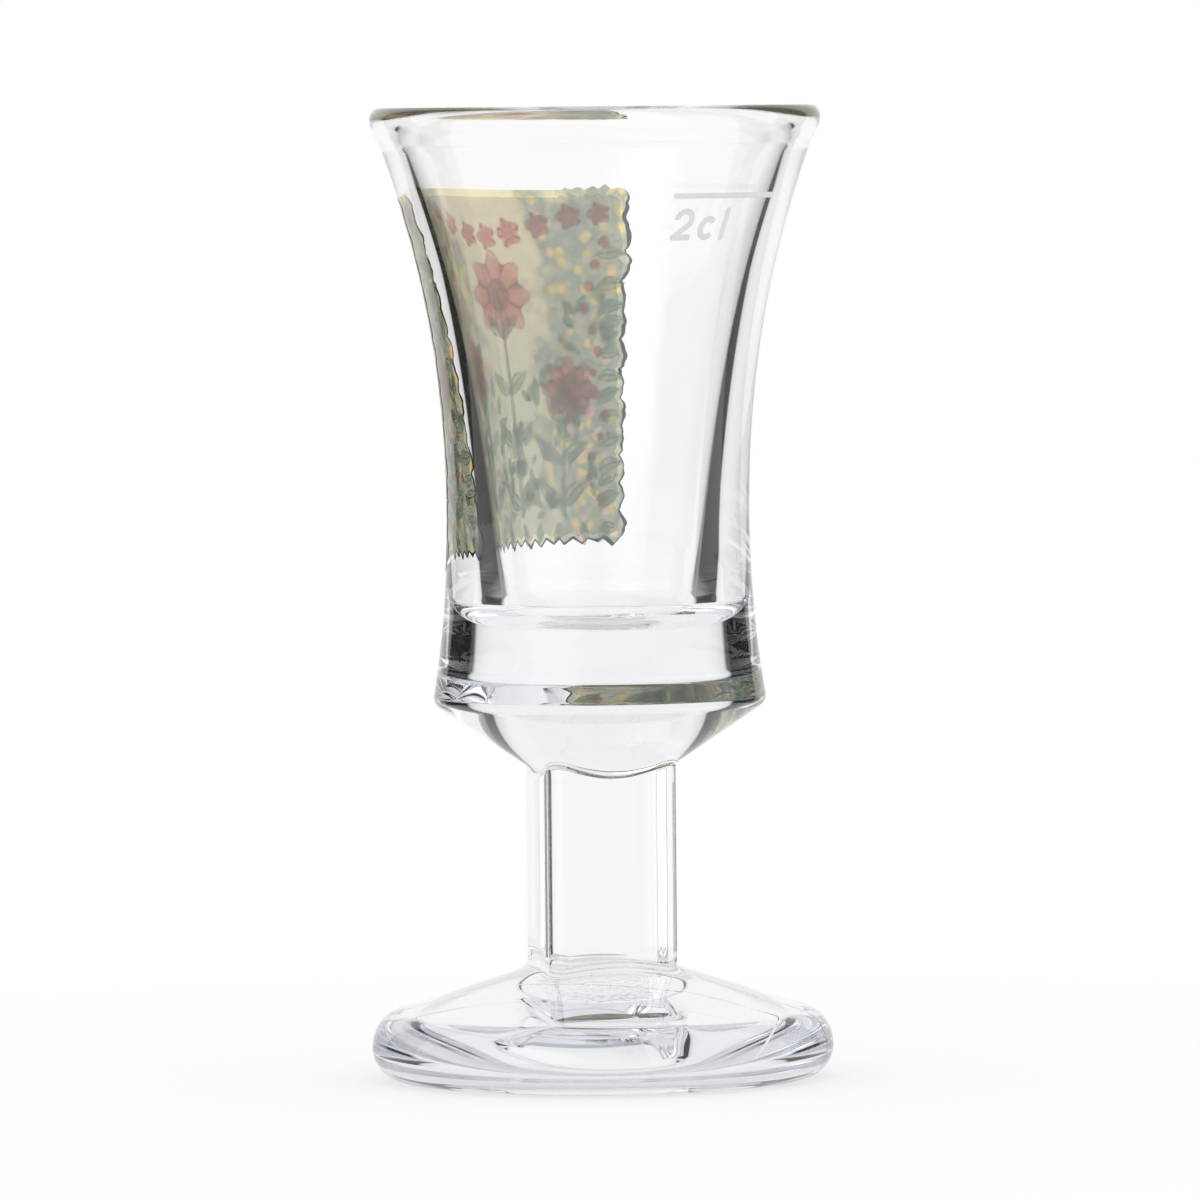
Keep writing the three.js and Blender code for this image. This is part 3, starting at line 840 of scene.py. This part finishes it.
class GLASS_OT_flower_transfer(bpy.types.Operator):
    """Fires the flower transfer on the back of the bowl, film by film."""

    bl_idname = "glass.flower_transfer"
    bl_label = "Flower transfer"

    def execute(self, context):
        scene = context.scene
        self.look = look = scene.glass_transfer
        self.outline = Outline(scene.glass_sizes)
        self.foot = self.outline.rim - look.below_rim - look.height
        self.wrap = self.outline.wall(self.foot + look.height / 2)
        self.panels()
        blooms = (
            ("middle", 0, (0, 0.71), look.bloom_radius, 4),
            ("left", -look.twig_spacing, (-0.29, 0.44), look.side_bloom_radius, 3),
            ("right", look.twig_spacing, (0.29, 0.5), look.side_bloom_radius, 3),
        )
        leaf, petal, eye = self.leaf_ink(), self.petal_ink(), self.eye_ink()
        for name, twig, (across, up), radius, pairs in blooms:
            head = Vector((across * look.width, up * look.height))
            self.frond(name, twig, head, pairs, leaf)
            self.bloom(name, head, radius, petal)
            self.eye(name, head, eye)
        self.border_leaves(leaf)
        self.berries(petal)
        self.foliage(leaf)
        self.garland(petal)
        return {"FINISHED"}

    def films(self):
        return Films(self.outline, self.look.bearing, self.wrap, self.foot)

    def panels(self):
        """The white ground and the washed field, with a straight top and ragged tips on the other edges."""
        look = self.look

        def panel(inset, tips):
            def spot(u, v):
                x = (u - 0.5) * (look.width - 2 * inset)
                y = inset + (look.height - 2 * inset) * v
                left = (leafy(v, 12, tips, 3, 0.5) + leafy(v, 29, 0.3 * tips, 4, 0.5)) * fade(u, 0.14)
                right = (leafy(v, 13, tips, 5, 0.5) + leafy(v, 31, 0.3 * tips, 6, 0.5)) * fade(1 - u, 0.14)
                drop = leafy(u, 14, 1.3 * tips, 9, 1.1) * fade(v, 0.12)
                tuft = leafy(u, 24, 0.5 * tips, 15) * fade(1 - v, 0.05) if abs(u - 0.55) > 0.36 else 0
                return x + right - left, y - drop + tuft, u, v
            return spot

        ground = self.films()
        inner, outer = GROUND_FILM
        ground.add(*PANEL_CELLS, panel(look.inset, look.tips * 0.8), inner * MM, outer * MM)
        white = printed_ink("white ground ink", self.ground_paint, look.cover)
        finish_piece(ground.build("print_ground_ink"), "print_white", (white,), "print_ground")
        field = self.films()
        inner, outer = FIELD_FILM
        field.add(*PANEL_CELLS, panel(0, look.tips), inner * MM, outer * MM)
        wash = printed_ink("washed field ink", self.field_paint, clear=look.clear)
        finish_piece(field.build("print_field_ink"), "print_field", (wash,), "print_field")

    def ground_paint(self, nodes, chart, where, grain):
        tint = self.look.ground
        return nodes.mix(grain.rise(0.3, 0.7), tuple(0.93 * part for part in tint), tint)

    def field_paint(self, nodes, chart, where, grain):
        look = self.look
        u, v, _ = nodes.axes(chart)
        cloud = nodes.noise(where, 230, 4, 0.6) - 0.5
        wash = nodes.mix((v + cloud * 0.5).rise(0.35, 0.8), look.meadow, look.sky)
        wash = nodes.mix(nodes.noise(where, 700, 3, 0.6).rise(0.5, 0.8) * 0.35, wash, look.bush)
        dabs = nodes.add("ShaderNodeTexVoronoi", None, {"Vector": where, "Scale": 1050.0})
        pick = nodes.axes(dabs.outputs["Color"])[0]
        dab = nodes.mix(pick.rise(0.2, 0.6), look.bush_cool, look.bush)
        dab = nodes.mix(pick.rise(0.82, 0.84), dab, look.eye)
        dab = nodes.mix((1 - pick.rise(0.1, 0.12)) * (1 - v.rise(0.45, 0.75)), dab, look.petal_light)
        dab = nodes.mix(nodes.value(dabs, "Distance").rise(0.3, 0.75) * 0.45, dab, look.leaf_dark)
        side = abs(u - 0.5) * 2
        bush = (side * 1.2 + cloud * 1.8 - v * 0.3).rise(0.1, 0.4)
        wash = nodes.mix(bush * 0.9, wash, dab)
        sides = u.smaller(1 - u) * (look.width / MM)
        border = sides.smaller(v * (look.height / MM))
        patch = nodes.noise(where, 420, 2).rise(0.3, 0.65) * 0.3
        outline = 1 - (border - patch).rise(0.04, 0.12)
        return nodes.mix(outline, wash, look.edge)

    def leaf_ink(self):
        look = self.look

        def paint(nodes, chart, where, grain):
            u, v, _ = nodes.axes(chart)
            side = abs(u - 0.5)
            rib = 1 - side.rise(0.03, 0.07)
            veins = ((v * 8 + side * 5).math("FRACT") - 0.5).math("ABSOLUTE").rise(0.4, 0.48) * 0.6
            rim = side.rise(0.4, 0.46)
            line = rib.larger(veins).larger(rim)
            light = tuple(min(1, 1.7 * part + 0.03) for part in look.leaf)
            shade = nodes.mix(nodes.noise(where, 420, 2).rise(0.35, 0.7), look.leaf, light)
            return nodes.mix(line, shade, look.leaf_dark)

        return printed_ink("leaf green ink", paint, clear=look.clear)

    def petal_ink(self):
        look = self.look

        def paint(nodes, chart, where, grain):
            u, v, _ = nodes.axes(chart)
            x, y = u * 2 - 1, v * 2 - 1
            out = (x * x + y * y) ** 0.5
            turn = y.math("ARCTAN2", x)
            streak = (turn * 40).cosine() * 0.5 + 0.5
            between_petals = (turn * 8).cosine() * 0.5 + 0.5
            light = out.rise(0.45, 0.95) * (0.55 + streak * 0.45) * between_petals.rise(0.2, 0.7)
            tone = nodes.mix(light, look.petal, look.petal_light)
            dark = (1 - between_petals.rise(0.02, 0.12)) * out.rise(0.35, 0.6)
            return nodes.mix(dark * 0.8, tone, tuple(0.3 * part for part in look.petal))

        return printed_ink("petal red ink", paint, clear=look.clear)

    def eye_ink(self):
        look = self.look

        def paint(nodes, chart, where, grain):
            dots = nodes.add("ShaderNodeTexVoronoi", None, {"Vector": where, "Scale": 2200.0})
            seed = nodes.value(dots, "Distance").rise(0.25, 0.4)
            return nodes.mix(seed, look.eye, tuple(0.45 * part for part in look.eye))

        return printed_ink("eye yellow ink", paint, clear=look.clear)

    def leaf(self, films, root, heading, size, broad, lift):
        """One pointed leaf from its root along a heading."""
        ahead = Vector((math.sin(heading), math.cos(heading)))
        side = Vector((ahead.y, -ahead.x))

        def spot(u, v):
            half = max(broad * math.sin(math.pi * v**0.85) ** 0.9, 0.03 * MM)
            middle = root + ahead * size * v + side * size * 0.08 * math.sin(math.pi * v)
            place = middle + side * (2 * u - 1) * half
            return place.x, place.y, u, v

        inner, outer = LEAF_FILM
        films.add(6, 12, spot, (inner - lift) * MM, (outer + lift) * MM)

    def frond(self, name, twig, head, pairs, ink):
        """A twig that rises to its bloom, with pairs of leaves that point forward."""
        look, films = self.look, self.films()
        foot = Vector((twig, look.height * 0.07))
        control = Vector((twig, head.y * 0.6))
        path = [foot] + [Vector(p) for p in bend(foot, control, head, TWIG_STEPS)]
        headings = []
        for i in range(TWIG_STEPS + 1):
            step = path[min(i + 1, TWIG_STEPS)] - path[max(i - 1, 0)]
            headings.append(math.atan2(step.x, step.y))

        def spot(u, v):
            i = round(v * TWIG_STEPS)
            off = (2 * u - 1) * look.twig_width / 2 * (1 - 0.4 * v)
            return path[i].x + math.cos(headings[i]) * off, path[i].y - math.sin(headings[i]) * off, u, v

        inner, outer = TWIG_FILM
        films.add(4, TWIG_STEPS, spot, inner * MM, outer * MM)
        for pair in range(pairs):
            i = round(TWIG_STEPS * (pair + 0.15) / pairs)
            for hand in (-1, 1):
                size = look.leaf_length * (1 - 0.3 * pair / pairs)
                lean = headings[i] + hand * math.radians(48 + 8 * uneven(pair, 11))
                self.leaf(films, path[i], lean, size, size * 0.2, 0.001 * (hand + 2))
        finish_piece(films.build(f"print_frond_{name}_ink"), "print_green", (ink,), f"print_frond_{name}")

    def disc(self, films, middle, radius, cells, petals, film):
        """A disc on a square grid, with a wavy edge where it has petals."""
        def spot(u, v):
            x, y = 2 * u - 1, 2 * v - 1
            flat = Vector((x * math.sqrt(1 - y * y / 2), y * math.sqrt(1 - x * x / 2)))
            turn = math.atan2(flat.y, flat.x)
            wave = 1 - 0.13 * (1 - math.cos(petals * turn)) if petals else 1
            place = middle + flat * radius * wave
            return place.x, place.y, 0.5 + flat.x / 2, 0.5 + flat.y / 2

        inner, outer = film
        films.add(cells, cells, spot, inner * MM, outer * MM)

    def bloom(self, name, head, radius, ink):
        films = self.films()
        self.disc(films, head, radius, 40, 8, PETAL_FILM)
        finish_piece(films.build(f"print_bloom_{name}_ink"), "print_red", (ink,), f"print_bloom_{name}")

    def eye(self, name, head, ink):
        films = self.films()
        self.disc(films, head, self.look.eye_radius, 16, 0, EYE_FILM)
        finish_piece(films.build(f"print_eye_{name}_ink"), "print_yellow", (ink,), f"print_eye_{name}")

    def border_leaves(self, ink):
        """Small leaves in the panel's ragged edges."""
        look, films = self.look, self.films()
        for i in range(13):
            up = (i + 0.5 * uneven(i, 21)) / 13 * 0.86 * look.height
            for hand in (-1, 1):
                root = Vector((hand * (look.width / 2 - 2.6 * MM), up))
                lean = hand * math.radians(60 + 35 * uneven(i, 23 + hand))
                size = (2.6 + 1.0 * uneven(i, 27 + hand)) * MM
                self.leaf(films, root, lean, size, size * 0.22, 0.001 * (i % 3))
        for i in range(9):
            root = Vector(((i - 4) / 9 * look.width, 1.8 * MM))
            lean = math.pi + math.radians(50 * (uneven(i, 31) - 0.5))
            self.leaf(films, root, lean, 2.5 * MM, 0.55 * MM, 0.001 * (i % 3))
        finish_piece(films.build("print_border_leaves_ink"), "print_green", (ink,))

    def berries(self, ink):
        """Small berries between the fronds and the edges."""
        look, films = self.look, self.films()
        for i in range(26):
            across = (0.36 + 0.08 * uneven(i, 41)) * (1 if i % 2 else -1)
            up = 0.12 + 0.8 * (i / 26)
            spot = Vector((across * look.width, up * look.height))
            self.disc(films, spot, (0.42 + 0.2 * uneven(i, 43)) * MM, 8, 0, SMALL_FILM)
        finish_piece(films.build("print_berries_ink"), "print_red", (ink,))

    def foliage(self, ink):
        """Loose small leaves that fill the bed between the twigs."""
        look, films = self.look, self.films()
        for i in range(120):
            across = 2 * uneven(i, 51) - 1
            up = 0.05 + 0.75 * uneven(i, 53) * (0.35 + 0.65 * abs(across))
            root = Vector((0.46 * across * look.width, up * look.height))
            size = (1.3 + 1.3 * uneven(i, 57)) * MM
            self.leaf(films, root, 2.4 * (uneven(i, 59) - 0.5), size, size * 0.21, 0.0005 * (i % 7))
        finish_piece(films.build("print_foliage_ink"), "print_green", (ink,))

    def garland(self, ink):
        """A row of small blossoms under the panel's top."""
        look, films = self.look, self.films()
        for i in range(9):
            across = (i - 4) / 9.4 + 0.02 * (uneven(i, 61) - 0.5)
            up = 0.9 - 0.035 * math.cos(math.pi * (i - 4) / 4) + 0.01 * uneven(i, 63)
            spot = Vector((across * look.width, up * look.height))
            self.disc(films, spot, (1.15 + 0.35 * uneven(i, 67)) * MM, 20, 5, SMALL_FILM)
        finish_piece(films.build("print_garland_ink"), "print_red", (ink,))


class GLASS_OT_stage(bpy.types.Operator):
    """Sets the floor, the white surround with its dark cards and soft window, and the camera."""

    bl_idname = "glass.stage"
    bl_label = "Stage"

    def execute(self, context):
        scene = context.scene
        self.floor(scene)
        self.surround(scene)
        self.camera(scene)
        scene.view_settings.view_transform = "Standard"
        scene.cycles.max_bounces = LIGHT_BOUNCES
        scene.cycles.transmission_bounces = LIGHT_BOUNCES
        scene.cycles.glossy_bounces = LIGHT_BOUNCES
        scene.cycles.transparent_max_bounces = CLEAR_BOUNCES
        return {"FINISHED"}

    def floor(self, scene):
        look = scene.glass_studio
        turns = [FULL_TURN * i / FLOOR_STEPS for i in range(FLOOR_STEPS)]
        reach = look.floor_radius
        rim = [(math.cos(turn) * reach, math.sin(turn) * reach, -FLOOR_DROP) for turn in turns]
        mesh = bpy.data.meshes.new("studio_floor")
        mesh.from_pydata(rim, [], [range(FLOOR_STEPS)])
        material, nodes = new_material("white floor")
        lit = nodes.add("ShaderNodeBsdfDiffuse", None, {"Color": (1, 1, 1, 1)})
        path = nodes.add("ShaderNodeLightPath").outputs
        through = Value(nodes, path["Is Transmission Ray"]).larger(Value(nodes, path["Is Glossy Ray"]))
        strength = 1 - through * (1 - look.floor_level)
        white = nodes.add("ShaderNodeEmission", None, {"Color": (1, 1, 1, 1), "Strength": strength})
        seen = Value(nodes, path["Is Camera Ray"]).larger(through)
        mixed = nodes.add("ShaderNodeMixShader", None, {
            0: seen * (1 - look.floor_shadow), 1: lit.outputs[0], 2: white.outputs[0],
        })
        nodes.add("ShaderNodeOutputMaterial", None, {"Surface": mixed.outputs[0]})
        mesh.materials.append(material)
        obj = bpy.data.objects.new("studio_floor", mesh)
        scene.collection.objects.link(obj)

    def surround(self, scene):
        look = scene.glass_studio
        world = bpy.data.worlds.new("white surround")
        scene.world = world
        nodes = Nodes(world)
        x, y, z = nodes.axes(nodes.add("ShaderNodeTexCoord").outputs["Generated"])
        bearing = abs(x).math("ARCTAN2", abs(y))
        rise = z.math("ARCSINE")
        soft = CARD_SOFT
        behind = y.rise(-0.01, 0.01)
        lower = 1 - rise.rise(look.low_edge, look.low_edge + soft)
        white_half = look.white_half - lower * (look.white_half - look.white_half_low)
        card_end = 1 - bearing.rise(look.dark_end - soft / 2, look.dark_end + soft / 2)
        under_top = 1 - rise.rise(look.dark_high - soft, look.dark_high + soft)
        back = ((bearing - white_half) / soft + 0.5).math("ADD", 0, clamp=True) * behind
        above_foot = rise.rise(look.dark_low - soft, look.dark_low + soft)
        card = back * above_foot * card_end * under_top
        left = (-1 * x).math("ARCTAN2", -1 * y)
        start, end = look.window_bearing - look.window_half, look.window_bearing + look.window_half
        window = left.within(start, end, WINDOW_SOFT) * rise.within(WINDOW_LOW, WINDOW_HIGH, WINDOW_EDGE)
        fall = ((bearing - white_half) / look.fall_width + 1).math("ADD", 0, clamp=True) ** 2 * behind
        fall = fall * above_foot * card_end * (1 - card) * look.edge_fall
        level = look.white_level - card * (look.white_level - look.card_level) - fall
        level = level + window * (look.window_level - 1)
        path = nodes.add("ShaderNodeLightPath").outputs
        seen = Value(nodes, path["Is Transmission Ray"]).larger(Value(nodes, path["Is Glossy Ray"]))
        seen = seen * (1 - Value(nodes, path["Diffuse Depth"]).rise(0, 1))
        strength = 1 - seen * (1 - level)
        white = nodes.add("ShaderNodeBackground", None, {"Color": (1, 1, 1, 1), "Strength": strength})
        nodes.add("ShaderNodeOutputWorld", None, {"Surface": white.outputs[0]})

    def camera(self, scene):
        data = bpy.data.cameras.new("photo_camera")
        data.sensor_width, data.lens, data.clip_end = CAMERA_SENSOR, CAMERA_LENS, CAMERA_END
        obj = bpy.data.objects.new("photo_camera", data)
        obj.location = CAMERA_PLACE
        obj.rotation_euler = CAMERA_TURN
        scene.collection.objects.link(obj)
        scene.camera = obj


class GLASS_PT_panel(bpy.types.Panel):
    """Lists the pieces of the glass and their sizes."""

    bl_idname = "GLASS_PT_panel"
    bl_label = "Schnapps Glass"
    bl_space_type = "VIEW_3D"
    bl_region_type = "UI"
    bl_category = "Schnapps Glass"

    def draw(self, context):
        column = self.layout.column()
        for operator in OPERATORS:
            column.operator(operator.bl_idname)
        for name, group in GROUPS.items():
            settings = getattr(context.scene, name)
            for field in group.__annotations__:
                column.prop(settings, field)


GROUPS = {
    "glass_sizes": GlassSizes,
    "glass_finish": GlassFinish,
    "glass_fill_mark": FillMark,
    "glass_transfer": FlowerTransfer,
    "glass_studio": StudioLook,
}
OPERATORS = (
    GLASS_OT_foot,
    GLASS_OT_stem,
    GLASS_OT_bowl,
    GLASS_OT_fill_mark,
    GLASS_OT_flower_transfer,
    GLASS_OT_stage,
)


def register():
    for group in (*GROUPS.values(), *OPERATORS, GLASS_PT_panel):
        bpy.utils.register_class(group)
    for name, group in GROUPS.items():
        setattr(bpy.types.Scene, name, PointerProperty(type=group))


def unregister():
    for name in GROUPS:
        delattr(bpy.types.Scene, name)
    for group in (GLASS_PT_panel, *reversed(OPERATORS), *reversed(GROUPS.values())):
        bpy.utils.unregister_class(group)


def main():
    register()
    bpy.ops.glass.foot()
    bpy.ops.glass.stem()
    bpy.ops.glass.bowl()
    bpy.ops.glass.fill_mark()
    bpy.ops.glass.flower_transfer()
    bpy.ops.glass.stage()


if __name__ == "__main__":
    main()
